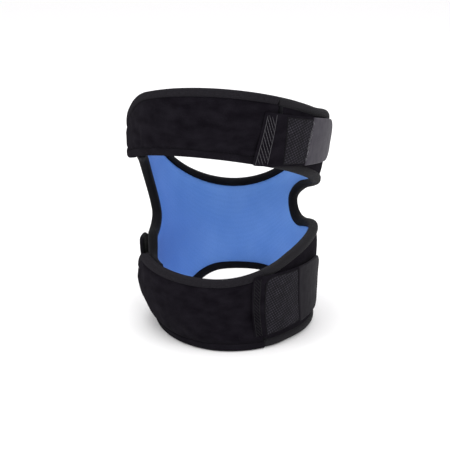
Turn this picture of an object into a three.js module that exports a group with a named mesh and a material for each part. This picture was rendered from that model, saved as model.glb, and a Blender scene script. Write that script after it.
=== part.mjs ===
// Cold compression wrap for a knee, standing as it is worn.
//
// An X-shaped cooling panel goes behind the knee. Its four arms come forward
// along both sides, and two padded straps close it in front, above and below
// the kneecap. Each strap is sewn to a left arm and fastened over a right arm
// by a tab with hook tape.
//
// Every piece lies on one wrap surface. A place on it is an angle, in degrees
// from the front centre towards +X, and a height z. A distance off it, outwards,
// is an offset: 0 is the outer face of the straps. Units are millimetres, +Z up,
// and the wearer's kneecap faces -Y.

import * as THREE from 'three';

// The loop's plan at six heights: an ellipse, pinched between its axes.
const SECTIONS = [
  { z: 0, centreX: 5.1, radiusX: 60.4, radiusY: 75.7, pinch: 0.02 },
  { z: 30, centreX: -1.6, radiusX: 67.6, radiusY: 77.5, pinch: 0.01 },
  { z: 65, centreX: -0.8, radiusX: 68.3, radiusY: 79.5, pinch: 0 },
  { z: 112, centreX: -3.4, radiusX: 72.5, radiusY: 78.5, pinch: 0 },
  { z: 160, centreX: -0.9, radiusX: 75.5, radiusY: 78.0, pinch: 0 },
  { z: 200, centreX: 0.1, radiusX: 75.0, radiusY: 78.0, pinch: 0 },
];
const SECTION_KEYS = ['centreX', 'radiusX', 'radiusY', 'pinch'];
const CENTRE_Y = 1.7;
const MEAN_RADIUS = 72;

// Straps: the edge lines of the upper and lower loops.
const UPPER_TOP = { level: 160.2, tilt: 29.5, roll: -2.2 };
const UPPER_BOTTOM = { level: 113.3, tilt: 28, roll: -5.5 };
const LOWER_TOP = { level: 54, leftRise: 5, rightRise: 21 };
// Towards the seams the straps' edges draw in.
const UPPER_TOP_DIP = { depth: 13, from: -44, to: -84 };
const UPPER_BOTTOM_DIP = { depth: -5, from: -66, to: -84 };
const LOWER_STRAP_DIP = { depth: 14, from: -62, to: -83 };
const STRAP_REAR = -97;
const STRAP_HINGE = -85.5;
const HINGE_SLIT = 0.5;
const STRAP_THICKNESS = 6.6;
const STRAP_RIM = 4.5;
const UPPER_STRAP_END = { bottom: 30.5, top: 34 };
const LOWER_STRAP_END = { bottom: 29, top: 29 };
const SEWN_END_ROUNDING = 1.8;
const SEWN_END_EDGE = 0.09;

// Panel: arms, arches and side notches.
const PANEL_THICKNESS = 7;
const PANEL_INNER = -11.1;
const PANEL_RIGHT_SHIFT = 3.2;
const LEFT_SIDE = 270;
const UPPER_LEFT_ARM_END = 290;
const LOWER_LEFT_ARM_END = 315;
const UPPER_ARM_START = 35.2;
const LOWER_ARM_START = 30.2;
const TOP_ARCH = { centre: 184, height: 91.5, rise: 75, blend: 8 };
const BOTTOM_ARCH = { centre: 181, height: 15.5, flatUntil: 15, floorFrom: 80 };
const WAIST_HEIGHT = 80;
const LEFT_NOTCH = { depth: 262, corner: 16, low: 69, levelUntil: 276, strapFrom: 300, underStrap: 1 };
const RIGHT_NOTCH = { depth: 133, corner: 16 };
const BINDING_WIDTH = 7;
// Across a binding: 0 on the free edge, 1 beside the laminate, with a rounded free edge.
const BINDING_PROFILE = [
  { across: 0, round: 2.2 },
  { across: 0.15, round: 0.8 },
  { across: 0.4, round: 0 },
  { across: 1, round: 0 },
];
// Columns of the faceted sheets.
const COLUMN_STEP = 6;
const CORNER_STEPS = 4;
const WAIST_STEPS = 22;
const ARC_STEPS = 34;
const LEFT_NOTCH_STEPS = 20;
const STRAP_STEPS = 16;
// Rows across the straps and across each band of the panel.
const ROWS = 4;
const TAB_STEPS = 6;

// Laminate layers of the panel, as heights over its inner face.
const PANEL_LAYERS = {
  lining: [0, 1.1],
  gel: [1.6, 3.3],
  foam: [4.0, 5.3],
  cover: [5.6, PANEL_THICKNESS],
};
// Laminate layers of a strap, as offsets.
const STRAP_LAYERS = {
  lining: [-STRAP_THICKNESS, -5.7],
  foam: [-5.4, -1.5],
  cover: [-1.2, 0],
};
// Layers of a fastening tab, as offsets.
const TAB_LAYERS = {
  hook: [0.2, 0.9],
  base: [1.2, 2.0],
  face: [2.3, 3.1],
  sewnEnd: [0.3, 1.0],
  thread: [1.3, 1.8],
};
const LAYER_GAP = 0.3;
const EDGE_GAP = 0.8;
const FOAM_LOWER_LEFT_END = 300;
const GEL_INSET = 12;
const GEL_ENDS = { upperRight: 104, lowerRight: 104, upperLeft: 272, lowerLeft: 272 };

// Fastening tabs: seams, ends and edge lines.
const UPPER_TAB = {
  start: { bottom: 30.8, top: 33.8 },
  end: 84,
  meshFrom: 40,
  gripFrom: 58,
  bottom: { left: 135.5, right: 128 },
  top: { left: 173, right: 158 },
  corner: 9,
  seam: { left: { bottom: 23.5, top: 28 }, right: { bottom: 30, top: 33 } },
};
const LOWER_TAB = {
  start: { bottom: 29.3, top: 29.3 },
  end: 84,
  meshFrom: 31,
  gripFrom: 57,
  bottom: { left: 9, right: 16 },
  top: { left: 54, right: 58 },
  corner: 7,
  seam: { left: { bottom: 24.5, top: 24.5 }, right: { bottom: 28.6, top: 28.6 } },
};
const HOOK_PATCH_INSET = 3;
const SEAM_INSET = 1.5;

const BLACK_PILE = { color: 0x1b191e, roughness: 0.95 };
const BLACK_TRIM = { color: 0x2a2a2f, roughness: 0.8 };
const DARK_FOAM = { color: 0x3a3b40, roughness: 0.9 };
const BLUE_MESH = { color: 0x5076c0, roughness: 0.7 };
const BLUE_GEL = { color: 0x6fa5dc, roughness: 0.3 };
const GREY_GRIP = { color: 0x55535a, roughness: 0.5 };
const HOOK_TAPE = { color: 0x201f24, roughness: 0.85 };
const GREY_THREAD = { color: 0x6a6a70, roughness: 0.7 };

const radians = THREE.MathUtils.degToRad;
const { lerp, clamp, smoothstep } = THREE.MathUtils;

// --- the wrap surface -------------------------------------------------------

// Slope of one section value at station i, from its two neighbours.
function slopeAt(i, key) {
  const before = SECTIONS[Math.max(i - 1, 0)];
  const after = SECTIONS[Math.min(i + 1, SECTIONS.length - 1)];
  return (after[key] - before[key]) / (after.z - before.z);
}

// Section values at any height, on a smooth cubic through the stations.
function sectionAt(height) {
  const z = clamp(height, SECTIONS[0].z, SECTIONS.at(-1).z);
  const next = Math.max(SECTIONS.findIndex((s) => s.z >= z), 1);
  const [a, b] = [SECTIONS[next - 1], SECTIONS[next]];
  const span = b.z - a.z;
  const t = (z - a.z) / span;
  const section = {};
  for (const key of SECTION_KEYS) {
    const start = a[key] * (2 * t ** 3 - 3 * t ** 2 + 1);
    const end = b[key] * (3 * t ** 2 - 2 * t ** 3);
    const startSlope = slopeAt(next - 1, key) * span * (t ** 3 - 2 * t ** 2 + t);
    const endSlope = slopeAt(next, key) * span * (t ** 3 - t ** 2);
    section[key] = start + end + startSlope + endSlope;
  }
  return section;
}

function surfacePoint(angle, z, offset) {
  const { centreX, radiusX, radiusY, pinch } = sectionAt(z);
  const turn = radians(angle);
  const scale = 1 - pinch * Math.sin(2 * turn) ** 2;
  const x = centreX + (radiusX * scale + offset) * Math.sin(turn);
  const y = CENTRE_Y - (radiusY * scale + offset) * Math.cos(turn);
  return new THREE.Vector3(x, y, z);
}

// --- edge lines: heights along the wrap --------------------------------------

function loopLine(line, angle) {
  return line.level + line.tilt * Math.cos(radians(angle)) + line.roll * Math.sin(radians(angle));
}

// How far an edge has dropped at an angle, from the front round the left side to the back.
function dropped(dip, angle) {
  const fromFront = angle > 180 ? angle - 360 : angle;
  return dip.depth * (1 - smoothstep(fromFront, dip.to, dip.from));
}

const upperTop = (angle) => loopLine(UPPER_TOP, angle) - dropped(UPPER_TOP_DIP, angle);
const upperBottom = (angle) => loopLine(UPPER_BOTTOM, angle);
const upperStrapBottom = (angle) => upperBottom(angle) - dropped(UPPER_BOTTOM_DIP, angle);

function lowerTop(angle) {
  const side = Math.sin(radians(angle));
  const rise = side > 0 ? LOWER_TOP.rightRise : LOWER_TOP.leftRise;
  return LOWER_TOP.level + rise * side ** 2;
}

// The lower strap's own top edge: towards the seam it dips below its sewn end.
const lowerStrapTop = (angle) => lowerTop(angle) - dropped(LOWER_STRAP_DIP, angle);
const lowerBottom = () => 0;

function smoothMin(a, b, blend) {
  const h = clamp(0.5 + (b - a) / (2 * blend), 0, 1);
  return lerp(b, a, h) - blend * h * (1 - h);
}

function panelTop(angle) {
  const arch = TOP_ARCH.height + TOP_ARCH.rise * (1 - Math.cos(radians(angle - TOP_ARCH.centre)));
  return smoothMin(arch, upperTop(angle), TOP_ARCH.blend);
}

function panelBottom(angle) {
  const away = Math.abs(angle - BOTTOM_ARCH.centre);
  return BOTTOM_ARCH.height * (1 - smoothstep(away, BOTTOM_ARCH.flatUntil, BOTTOM_ARCH.floorFrom));
}

// Moves an edge line by inset, measured square to the line.
function insetLine(line, inset) {
  return (angle) => {
    const slope = (line(angle + 1) - line(angle - 1)) / (2 * radians(1) * MEAN_RADIUS);
    return line(angle) + inset * Math.hypot(1, slope);
  };
}

const insetAngle = (inset) => THREE.MathUtils.radToDeg(inset / MEAN_RADIUS);

// How open a notch is at an angle: 0 at its deepest point, 1 past its rounded corner.
function notchOpening(angle, depth, corner) {
  const t = clamp(Math.abs(angle - depth) / corner, 0, 1);
  return Math.sqrt(1 - (1 - t) ** 2);
}

// The left notch's lower edge: level at first, then down to just under the strap's top.
function leftNotchLow(angle) {
  const down = smoothstep(angle, LEFT_NOTCH.levelUntil, LEFT_NOTCH.strapFrom);
  return lerp(LEFT_NOTCH.low, lowerTop(angle) - LEFT_NOTCH.underStrap, down);
}

// The side notch at an angle, grown by inset on every side, or null between the notches.
function notchAt(angle, inset) {
  const leftDepth = LEFT_NOTCH.depth - insetAngle(inset);
  const rightDepth = RIGHT_NOTCH.depth + insetAngle(inset);
  const upper = insetLine(upperBottom, inset)(angle);
  if (angle >= leftDepth) {
    const low = insetLine(leftNotchLow, -inset)(angle);
    return { open: notchOpening(angle, leftDepth, LEFT_NOTCH.corner), low, upper };
  }
  if (angle <= rightDepth) {
    const low = insetLine(lowerTop, -inset)(angle);
    return { open: notchOpening(angle, rightDepth, RIGHT_NOTCH.corner), low, upper };
  }
  return null;
}

function notchLow(angle, inset) {
  const notch = notchAt(angle, inset);
  return notch ? lerp(WAIST_HEIGHT, notch.low, notch.open) : WAIST_HEIGHT;
}

function notchHigh(angle, inset) {
  const notch = notchAt(angle, inset);
  return notch ? lerp(WAIST_HEIGHT, notch.upper, notch.open) : WAIST_HEIGHT;
}

// --- thick sheets --------------------------------------------------------------

// A sheet is a list of points { angle, z, round } and quads that index them.
// Points at the same place are shared, so sheets that meet are joined.
class Sheet {
  points = [];
  quads = [];
  #places = new Map();

  add(point) {
    const key = `${point.angle.toFixed(4)} ${point.z.toFixed(4)}`;
    if (!this.#places.has(key)) {
      this.#places.set(key, this.points.length);
      this.points.push(point);
    }
    return this.#places.get(key);
  }

  // A grid over the values us by vs. pointAt(u, v) gives angle, z and rounding.
  grid(us, vs, pointAt) {
    const ids = us.map((u) => vs.map((v) => this.add(pointAt(u, v))));
    for (let i = 0; i + 1 < us.length; i += 1) {
      for (let j = 0; j + 1 < vs.length; j += 1) {
        this.quads.push([ids[i][j], ids[i + 1][j], ids[i + 1][j + 1], ids[i][j + 1]]);
      }
    }
    return this;
  }
}

function spaced(from, to, steps) {
  return Array.from({ length: steps + 1 }, (_, i) => lerp(from, to, i / steps));
}

// Values that crowd towards the start, for a rounded end there.
function crowded(from, to, steps) {
  return spaced(0, 1, steps).map((t) => lerp(from, to, 1 - Math.cos((Math.PI * t) / 2)));
}

// Edges of the sheet's outline, each in the direction of its own quad.
function outlineEdges(quads) {
  const edges = new Map();
  for (const quad of quads) {
    quad.forEach((from, i) => {
      const to = quad[(i + 1) % quad.length];
      if (!edges.delete(`${to} ${from}`)) edges.set(`${from} ${to}`, [from, to]);
    });
  }
  return edges.values();
}

// A closed solid between two offsets of a sheet. Each is a function of the angle.
function thicken(sheet, inner, outer) {
  const count = sheet.points.length;
  const positions = [];
  for (const { angle, z, round } of sheet.points) {
    positions.push(...surfacePoint(angle, z, outer(angle) - round));
  }
  for (const { angle, z, round } of sheet.points) {
    positions.push(...surfacePoint(angle, z, inner(angle) + round));
  }
  const triangles = [];
  for (const [a, b, c, d] of sheet.quads) {
    triangles.push(a, b, c, a, c, d);
    triangles.push(a + count, c + count, b + count, a + count, d + count, c + count);
  }
  for (const [from, to] of outlineEdges(sheet.quads)) {
    triangles.push(to, from, from + count, to, from + count, to + count);
  }
  const geometry = new THREE.BufferGeometry();
  geometry.setAttribute('position', new THREE.Float32BufferAttribute(positions, 3));
  geometry.setIndex(triangles);
  geometry.computeVertexNormals();
  return geometry;
}

const wrap = new THREE.Group();

function addPart(name, geometry, { color, roughness }) {
  const material = new THREE.MeshStandardMaterial({ color, roughness, metalness: 0 });
  const mesh = new THREE.Mesh(geometry, material);
  mesh.name = name;
  wrap.add(mesh);
}

const level = (value) => () => value;

// Adds a piece between two constant offsets.
function addLayer(name, sheet, [inner, outer], finish) {
  addPart(name, thicken(sheet, level(inner), level(outer)), finish);
}

// --- panel -----------------------------------------------------------------------

// The inner face's offset. It lies a constant way inside the straps on the left arms.
const panelInner = (angle) => {
  const side = angle > LEFT_SIDE ? -1 : Math.sin(radians(angle));
  return PANEL_INNER + PANEL_RIGHT_SHIFT * side;
};

function addPanelLayer(name, sheet, [low, high], finish) {
  const inner = (angle) => panelInner(angle) + low;
  const outer = (angle) => panelInner(angle) + high;
  addPart(name, thicken(sheet, inner, outer), finish);
}

const ARM_ENDS = {
  upperRight: UPPER_ARM_START,
  lowerRight: LOWER_ARM_START,
  upperLeft: UPPER_LEFT_ARM_END,
  lowerLeft: LOWER_LEFT_ARM_END,
};

// The angles of the panel's columns, crowded at the ends of both notches.
function panelColumns(inset, right, left) {
  const rightDepth = RIGHT_NOTCH.depth + insetAngle(inset);
  const leftDepth = LEFT_NOTCH.depth - insetAngle(inset);
  const rightCorner = Math.max(rightDepth - RIGHT_NOTCH.corner, right + 1);
  const leftCorner = Math.min(leftDepth + LEFT_NOTCH.corner, left - 1);
  return [
    ...spaced(right, rightCorner, Math.ceil((rightCorner - right) / COLUMN_STEP)),
    ...crowded(rightDepth, rightCorner, CORNER_STEPS).reverse().slice(1),
    ...spaced(rightDepth, leftDepth, WAIST_STEPS).slice(1),
    ...crowded(leftDepth, leftCorner, CORNER_STEPS).slice(1),
    ...spaced(leftCorner, left, Math.ceil((left - leftCorner) / COLUMN_STEP)).slice(1),
  ];
}

// The X-shaped sheet: one band above the notches, one below, joined between them.
function panelSheet(inset, ends) {
  const rows = spaced(0, 1, ROWS);
  const top = insetLine(panelTop, -inset);
  const bottom = insetLine(panelBottom, inset);
  const place = (angle, z) => ({ angle, z, round: 0 });
  const lowBand = (angle, v) => place(angle, lerp(bottom(angle), notchLow(angle, inset), v));
  const highBand = (angle, v) => place(angle, lerp(notchHigh(angle, inset), top(angle), v));
  return new Sheet()
    .grid(panelColumns(inset, ends.lowerRight, ends.lowerLeft), rows, lowBand)
    .grid(panelColumns(inset, ends.upperRight, ends.upperLeft), rows, highBand);
}

function addPanel() {
  const laminate = panelSheet(BINDING_WIDTH + EDGE_GAP, ARM_ENDS);
  const foam = panelSheet(BINDING_WIDTH + EDGE_GAP, { ...ARM_ENDS, lowerLeft: FOAM_LOWER_LEFT_END });
  addPanelLayer('panel_outer_cover', laminate, PANEL_LAYERS.cover, BLACK_PILE);
  addPanelLayer('panel_insulation_foam', foam, PANEL_LAYERS.foam, DARK_FOAM);
  addPanelLayer('cold_gel_pack', panelSheet(GEL_INSET, GEL_ENDS), PANEL_LAYERS.gel, BLUE_GEL);
  addPanelLayer('panel_mesh_lining', laminate, PANEL_LAYERS.lining, BLUE_MESH);
}

// --- bindings -------------------------------------------------------------------

// A strip from a free edge inwards. edgeAt(u, inset) gives [angle, z] on the edge moved in.
// The laminate is on the strip's left as u runs, seen from outside the wrap.
function edgeStrip(us, width, edgeAt) {
  return new Sheet().grid(us, BINDING_PROFILE, (u, { across, round }) => {
    const [angle, z] = edgeAt(u, across * width);
    return { angle, z, round };
  });
}

const lineEdge = (line, side) => (angle, inset) => [angle, insetLine(line, side * inset)(angle)];

// Around a notch: u runs from one arm's end, at -1, through the deepest point to the other.
function notchEdge(depth, side, ends) {
  return (u, inset) => {
    const deepest = depth - side * insetAngle(inset);
    const along = 1 - Math.cos((Math.PI / 2) * Math.abs(u));
    const angle = lerp(deepest, u < 0 ? ends.lower : ends.upper, along);
    return [angle, u < 0 ? notchLow(angle, inset) : notchHigh(angle, inset)];
  };
}

function addPanelBindings() {
  const full = [0, PANEL_THICKNESS];
  const addBinding = (name, us, edgeAt) => {
    addPanelLayer(`panel_${name}_binding`, edgeStrip(us, BINDING_WIDTH, edgeAt), full, BLACK_TRIM);
  };
  const leftEnds = { upper: ARM_ENDS.upperLeft, lower: ARM_ENDS.lowerLeft };
  const rightEnds = { upper: ARM_ENDS.upperRight, lower: ARM_ENDS.lowerRight };
  const topColumns = spaced(ARM_ENDS.upperLeft, ARM_ENDS.upperRight, ARC_STEPS);
  const bottomColumns = spaced(ARM_ENDS.lowerRight, ARM_ENDS.lowerLeft, ARC_STEPS);
  addBinding('top', topColumns, lineEdge(panelTop, -1));
  addBinding('bottom', bottomColumns, lineEdge(panelBottom, 1));
  addBinding('left_notch', spaced(-1, 1, LEFT_NOTCH_STEPS), notchEdge(LEFT_NOTCH.depth, 1, leftEnds));
  addBinding('right_notch', spaced(1, -1, ARC_STEPS), notchEdge(RIGHT_NOTCH.depth, -1, rightEnds));
}

// --- straps ---------------------------------------------------------------------

// A strap's sheet between two angles. Its far end may slant from bottom to top.
function strapSheet({ top, bottom }, start, end, inset) {
  const topLine = insetLine(top, -inset);
  const bottomLine = insetLine(bottom, inset);
  return new Sheet().grid(spaced(0, 1, STRAP_STEPS), spaced(0, 1, ROWS), (u, v) => {
    const angle = lerp(start, lerp(end.bottom, end.top, v), u);
    return { angle, z: lerp(bottomLine(angle), topLine(angle), v), round: 0 };
  });
}

function addStrap(prefix, lines, end) {
  const core = strapSheet(lines, STRAP_HINGE, end, STRAP_RIM + LAYER_GAP);
  addLayer(`${prefix}_strap_cover`, core, STRAP_LAYERS.cover, BLACK_PILE);
  addLayer(`${prefix}_strap_foam`, core, STRAP_LAYERS.foam, DARK_FOAM);
  addLayer(`${prefix}_strap_lining`, core, STRAP_LAYERS.lining, BLACK_PILE);
  const topColumns = spaced(end.top, STRAP_HINGE, STRAP_STEPS);
  const bottomColumns = spaced(STRAP_HINGE, end.bottom, STRAP_STEPS);
  const topRim = edgeStrip(topColumns, STRAP_RIM, lineEdge(lines.top, -1));
  const bottomRim = edgeStrip(bottomColumns, STRAP_RIM, lineEdge(lines.bottom, 1));
  addLayer(`${prefix}_strap_top_rim`, topRim, [-STRAP_THICKNESS, 0], BLACK_TRIM);
  addLayer(`${prefix}_strap_bottom_rim`, bottomRim, [-STRAP_THICKNESS, 0], BLACK_TRIM);
}

// The rear end of a strap, sewn down on the outside of a left arm.
function addSewnEnd(prefix, { top, bottom }) {
  const across = [0, ...spaced(SEWN_END_EDGE, 1 - SEWN_END_EDGE, ROWS), 1];
  const sheet = new Sheet().grid(spaced(STRAP_REAR, STRAP_HINGE - HINGE_SLIT, 2), across, (angle, v) => {
    const round = v === 0 || v === 1 ? SEWN_END_ROUNDING : 0;
    return { angle, z: lerp(bottom(angle), top(angle), v), round };
  });
  addLayer(`${prefix}_strap_sewn_end`, sheet, [-STRAP_THICKNESS, 0], BLACK_PILE);
}

// --- fastening tabs -------------------------------------------------------------

// A tab's sheet from a slanted start to an end angle, with the end's corners rounded.
function tabSheet(tab, start, end, inset, corner) {
  const cornerAngle = insetAngle(corner);
  const flat = spaced(0, 1, TAB_STEPS).map((u) => ({ u, past: 0 }));
  const turned = corner ? crowded(1, 0, CORNER_STEPS).reverse().slice(1) : [];
  const columns = [...flat, ...turned.map((past) => ({ u: 1, past }))];
  return new Sheet().grid(columns, spaced(0, 1, ROWS), ({ u, past }, v) => {
    const from = lerp(start.bottom, start.top, v);
    const angle = lerp(from, end - cornerAngle, u) + past * cornerAngle;
    const along = (angle - tab.start.bottom) / (tab.end - tab.start.bottom);
    const cut = inset + corner * (1 - Math.sqrt(1 - past ** 2));
    const low = lerp(tab.bottom.left, tab.bottom.right, along) + cut;
    const high = lerp(tab.top.left, tab.top.right, along) - cut;
    return { angle, z: lerp(low, high, v), round: 0 };
  });
}

const upright = (angle) => ({ bottom: angle, top: angle });

function addTab(prefix, tab) {
  const base = tabSheet(tab, tab.start, tab.end, 0, tab.corner);
  const mesh = tabSheet(tab, upright(tab.meshFrom), tab.gripFrom - LAYER_GAP, 0, 0);
  const grip = tabSheet(tab, upright(tab.gripFrom), tab.end, 0, tab.corner);
  const hook = tabSheet(tab, upright(tab.meshFrom), tab.end - HOOK_PATCH_INSET, HOOK_PATCH_INSET, 0);
  addLayer(`${prefix}_tab_base`, base, TAB_LAYERS.base, BLACK_PILE);
  addLayer(`${prefix}_tab_hook_tape_back`, mesh, TAB_LAYERS.face, HOOK_TAPE);
  addLayer(`${prefix}_tab_pull_grip`, grip, TAB_LAYERS.face, GREY_GRIP);
  addLayer(`${prefix}_tab_hook_patch`, hook, TAB_LAYERS.hook, HOOK_TAPE);
}

// The tab's fixed end under the seam, and the seam's bar of zigzag thread.
function addSeam(prefix, tab) {
  const { left, right } = tab.seam;
  const strip = (inset) => new Sheet().grid(spaced(0, 1, 2), spaced(0, 1, ROWS), (u, v) => {
    const angle = lerp(lerp(left.bottom, left.top, v), lerp(right.bottom, right.top, v), u);
    return { angle, z: lerp(tab.bottom.left + inset, tab.top.left - inset, v), round: 0 };
  });
  addLayer(`${prefix}_tab_sewn_end`, strip(0), TAB_LAYERS.sewnEnd, BLACK_PILE);
  addLayer(`${prefix}_tab_zigzag_stitching`, strip(SEAM_INSET), TAB_LAYERS.thread, GREY_THREAD);
}

addPanel();
addPanelBindings();
const straps = [
  { prefix: 'upper', top: upperTop, bottom: upperStrapBottom, end: UPPER_STRAP_END, tab: UPPER_TAB },
  { prefix: 'lower', top: lowerStrapTop, bottom: lowerBottom, end: LOWER_STRAP_END, tab: LOWER_TAB },
];
addSewnEnd('upper', { top: upperTop, bottom: upperStrapBottom });
addSewnEnd('lower', { top: lowerTop, bottom: lowerBottom });
for (const { prefix, top, bottom, end, tab } of straps) {
  addStrap(prefix, { top, bottom }, end);
  addSeam(prefix, tab);
  addTab(prefix, tab);
}

export default wrap;
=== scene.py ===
"""Looks for the cold compression wrap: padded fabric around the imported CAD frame.

Every soft piece lies on one wrap surface, the same as the CAD's: a place on it is an angle in
degrees from the front centre towards +X, a height z and an offset outwards, all in millimetres.
The offset is 0 on the outer face of the straps. Meshes are stored in metres.
"""

import math

import bmesh
import bpy
import numpy as np
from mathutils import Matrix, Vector, kdtree, noise


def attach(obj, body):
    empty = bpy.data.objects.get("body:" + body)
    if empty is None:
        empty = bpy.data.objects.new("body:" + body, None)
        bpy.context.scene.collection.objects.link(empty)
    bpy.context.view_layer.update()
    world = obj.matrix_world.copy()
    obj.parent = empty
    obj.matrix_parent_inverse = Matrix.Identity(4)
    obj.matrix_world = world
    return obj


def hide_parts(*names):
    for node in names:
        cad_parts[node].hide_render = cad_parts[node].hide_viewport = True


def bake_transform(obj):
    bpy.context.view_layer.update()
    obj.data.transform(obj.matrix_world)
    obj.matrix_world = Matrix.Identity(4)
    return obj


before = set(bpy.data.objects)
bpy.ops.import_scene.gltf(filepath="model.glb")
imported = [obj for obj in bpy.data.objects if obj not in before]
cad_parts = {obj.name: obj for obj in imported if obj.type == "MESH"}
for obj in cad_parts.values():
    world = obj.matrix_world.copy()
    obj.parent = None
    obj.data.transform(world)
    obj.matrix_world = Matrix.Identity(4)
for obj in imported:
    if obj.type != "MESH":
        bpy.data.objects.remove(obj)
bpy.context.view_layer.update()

MM = 0.001

# --- the wrap's driving dimensions, in millimetres and degrees ---

SECTIONS = {  # the loop's plan at six heights
    "z": (0, 30, 65, 112, 160, 200),
    "centre_x": (5.1, -1.6, -0.8, -3.4, -0.9, 0.1),
    "radius_x": (60.4, 67.6, 68.3, 72.5, 75.5, 75.0),
    "radius_y": (75.7, 77.5, 79.5, 78.5, 78.0, 78.0),
    "pinch": (0.02, 0.01, 0, 0, 0, 0),
}
CENTRE_Y = 1.7
MEAN_RADIUS = 72

# A line round the loop: its height at the sides, its rise in front and its lean.
UPPER_TOP = (160.2, 29.5, -2.2)
UPPER_BOTTOM = (113.3, 28, -5.5)
LOWER_TOP = 54
LOWER_TOP_RISE = {"left": 5, "right": 21}
# A strap's edge dips towards its seam: how far, and from which angle to which.
UPPER_TOP_DIP = (13, -44, -84)
UPPER_BOTTOM_DIP = (-5, -66, -84)
LOWER_STRAP_DIP = (14, -62, -83)

STRAP_REAR = -97
STRAP_HINGE = -85.5
STRAP_THICKNESS = 6.6
STRAP_RIM = 5.6

PANEL_THICKNESS = 7
PANEL_INNER = -11.1
PANEL_RIGHT_SHIFT = 3.2
RIGHT_TIP_LIFT = 1.8
LEFT_TIP_THINNING = 4.6
RIGHT_CORNER_RISE = 3.2
TOP_ARCH = {"centre": 184, "low": 91.5, "steepness": 75, "blend": 8}
BOTTOM_ARCH = {"centre": 181, "height": 15.5, "flat_until": 15, "floor_from": 80}
LEFT_SIDE = 270
UPPER_LEFT_ARM_END = 290
LOWER_LEFT_ARM_END = 315
UPPER_ARM_START = 35.2
LOWER_ARM_START = 30.2
WAIST_HEIGHT = 80
LEFT_NOTCH_DEPTH = 262
LEFT_NOTCH_LOW = 69
LEFT_NOTCH_LEVEL_UNTIL = 276
LEFT_NOTCH_STRAP_FROM = 300
RIGHT_NOTCH_DEPTH = 133
NOTCH_CORNER = 16
BINDING_WIDTH = 6.6


# --- the wrap surface ---

def section_at(z, key):
    """One section value at heights z, on a smooth cubic through the stations."""
    stations = np.array(SECTIONS["z"], float)
    values = np.array(SECTIONS[key], float)
    z = np.clip(z, stations[0], stations[-1])
    k = np.clip(np.searchsorted(stations, z, side="left"), 1, len(stations) - 1)
    before = np.maximum(np.arange(len(stations)) - 1, 0)
    after = np.minimum(np.arange(len(stations)) + 1, len(stations) - 1)
    slopes = (values[after] - values[before]) / (stations[after] - stations[before])
    span = stations[k] - stations[k - 1]
    t = (z - stations[k - 1]) / span
    start = values[k - 1] * (2 * t**3 - 3 * t**2 + 1) + slopes[k - 1] * span * (t**3 - 2 * t**2 + t)
    end = values[k] * (3 * t**2 - 2 * t**3) + slopes[k] * span * (t**3 - t**2)
    return start + end


def surface(angle, z, offset):
    """Points in metres for angles, heights and offsets."""
    angle, z, offset = np.broadcast_arrays(*(np.asarray(a, float) for a in (angle, z, offset)))
    turn = np.radians(angle)
    scale = 1 - section_at(z, "pinch") * np.sin(2 * turn) ** 2
    x = section_at(z, "centre_x") + (section_at(z, "radius_x") * scale + offset) * np.sin(turn)
    y = CENTRE_Y - (section_at(z, "radius_y") * scale + offset) * np.cos(turn)
    return np.stack([x, y, z], -1) * MM


def lerp(a, b, t):
    return a + (b - a) * t


def smoothstep(low, high, x):
    t = np.clip((x - low) / (high - low), 0, 1)
    return t * t * (3 - 2 * t)


def arc(angle):
    """Millimetres along the wrap for an angle in degrees."""
    return np.radians(angle) * MEAN_RADIUS


def turn_of(length):
    """Degrees for millimetres along the wrap."""
    return np.degrees(length / MEAN_RADIUS)


# --- edge lines: heights along the wrap ---

def round_loop(line, angle):
    height, rise, lean = line
    turn = np.radians(angle)
    return height + rise * np.cos(turn) + lean * np.sin(turn)


def dip(facts, angle):
    """How far an edge has dipped: nothing in front, all of it at the left side and the back."""
    depth, start, end = facts
    from_front = np.where(np.asarray(angle) > 180, np.asarray(angle) - 360, angle)
    return depth * smoothstep(start, end, from_front)


def upper_top(angle):
    return round_loop(UPPER_TOP, angle) - dip(UPPER_TOP_DIP, angle)


def upper_bottom(angle):
    return round_loop(UPPER_BOTTOM, angle)


def upper_strap_bottom(angle):
    return upper_bottom(angle) - dip(UPPER_BOTTOM_DIP, angle)


def lower_top(angle):
    side = np.sin(np.radians(angle))
    return LOWER_TOP + np.where(side > 0, LOWER_TOP_RISE["right"], LOWER_TOP_RISE["left"]) * side**2


def lower_strap_top(angle):
    """The lower strap's own top edge: towards the seam it dips below its sewn end."""
    return lower_top(angle) - dip(LOWER_STRAP_DIP, angle)


def lower_bottom(angle):
    return np.zeros_like(np.asarray(angle, float))


def panel_top(angle):
    """The upper arms' top edge, higher at the right side, blended into the arch between them."""
    corner = RIGHT_CORNER_RISE * smoothstep(62, 84, angle) * smoothstep(118, 96, angle)
    from_centre = np.radians(angle - TOP_ARCH["centre"])
    arch = TOP_ARCH["low"] + TOP_ARCH["steepness"] * (1 - np.cos(from_centre))
    line, blend = upper_top(angle) + corner, TOP_ARCH["blend"]
    h = np.clip(0.5 + (line - arch) / (2 * blend), 0, 1)
    return lerp(line, arch, h) - blend * h * (1 - h)


def panel_bottom(angle):
    from_centre = np.abs(angle - BOTTOM_ARCH["centre"])
    fall = smoothstep(BOTTOM_ARCH["flat_until"], BOTTOM_ARCH["floor_from"], from_centre)
    return BOTTOM_ARCH["height"] * (1 - fall)


def left_notch_low(angle):
    """The left notch's lower edge: level at first, then down to the strap's top."""
    share = smoothstep(LEFT_NOTCH_LEVEL_UNTIL, LEFT_NOTCH_STRAP_FROM, angle)
    return lerp(LEFT_NOTCH_LOW, lower_top(angle) - 1, share)


def inset_line(line, inset):
    """An edge line moved by inset, measured square to the line."""
    def moved(angle):
        slope = (line(angle + 1) - line(angle - 1)) / (2 * math.radians(1) * MEAN_RADIUS)
        return line(angle) + inset * np.hypot(1, slope)
    return moved


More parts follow.
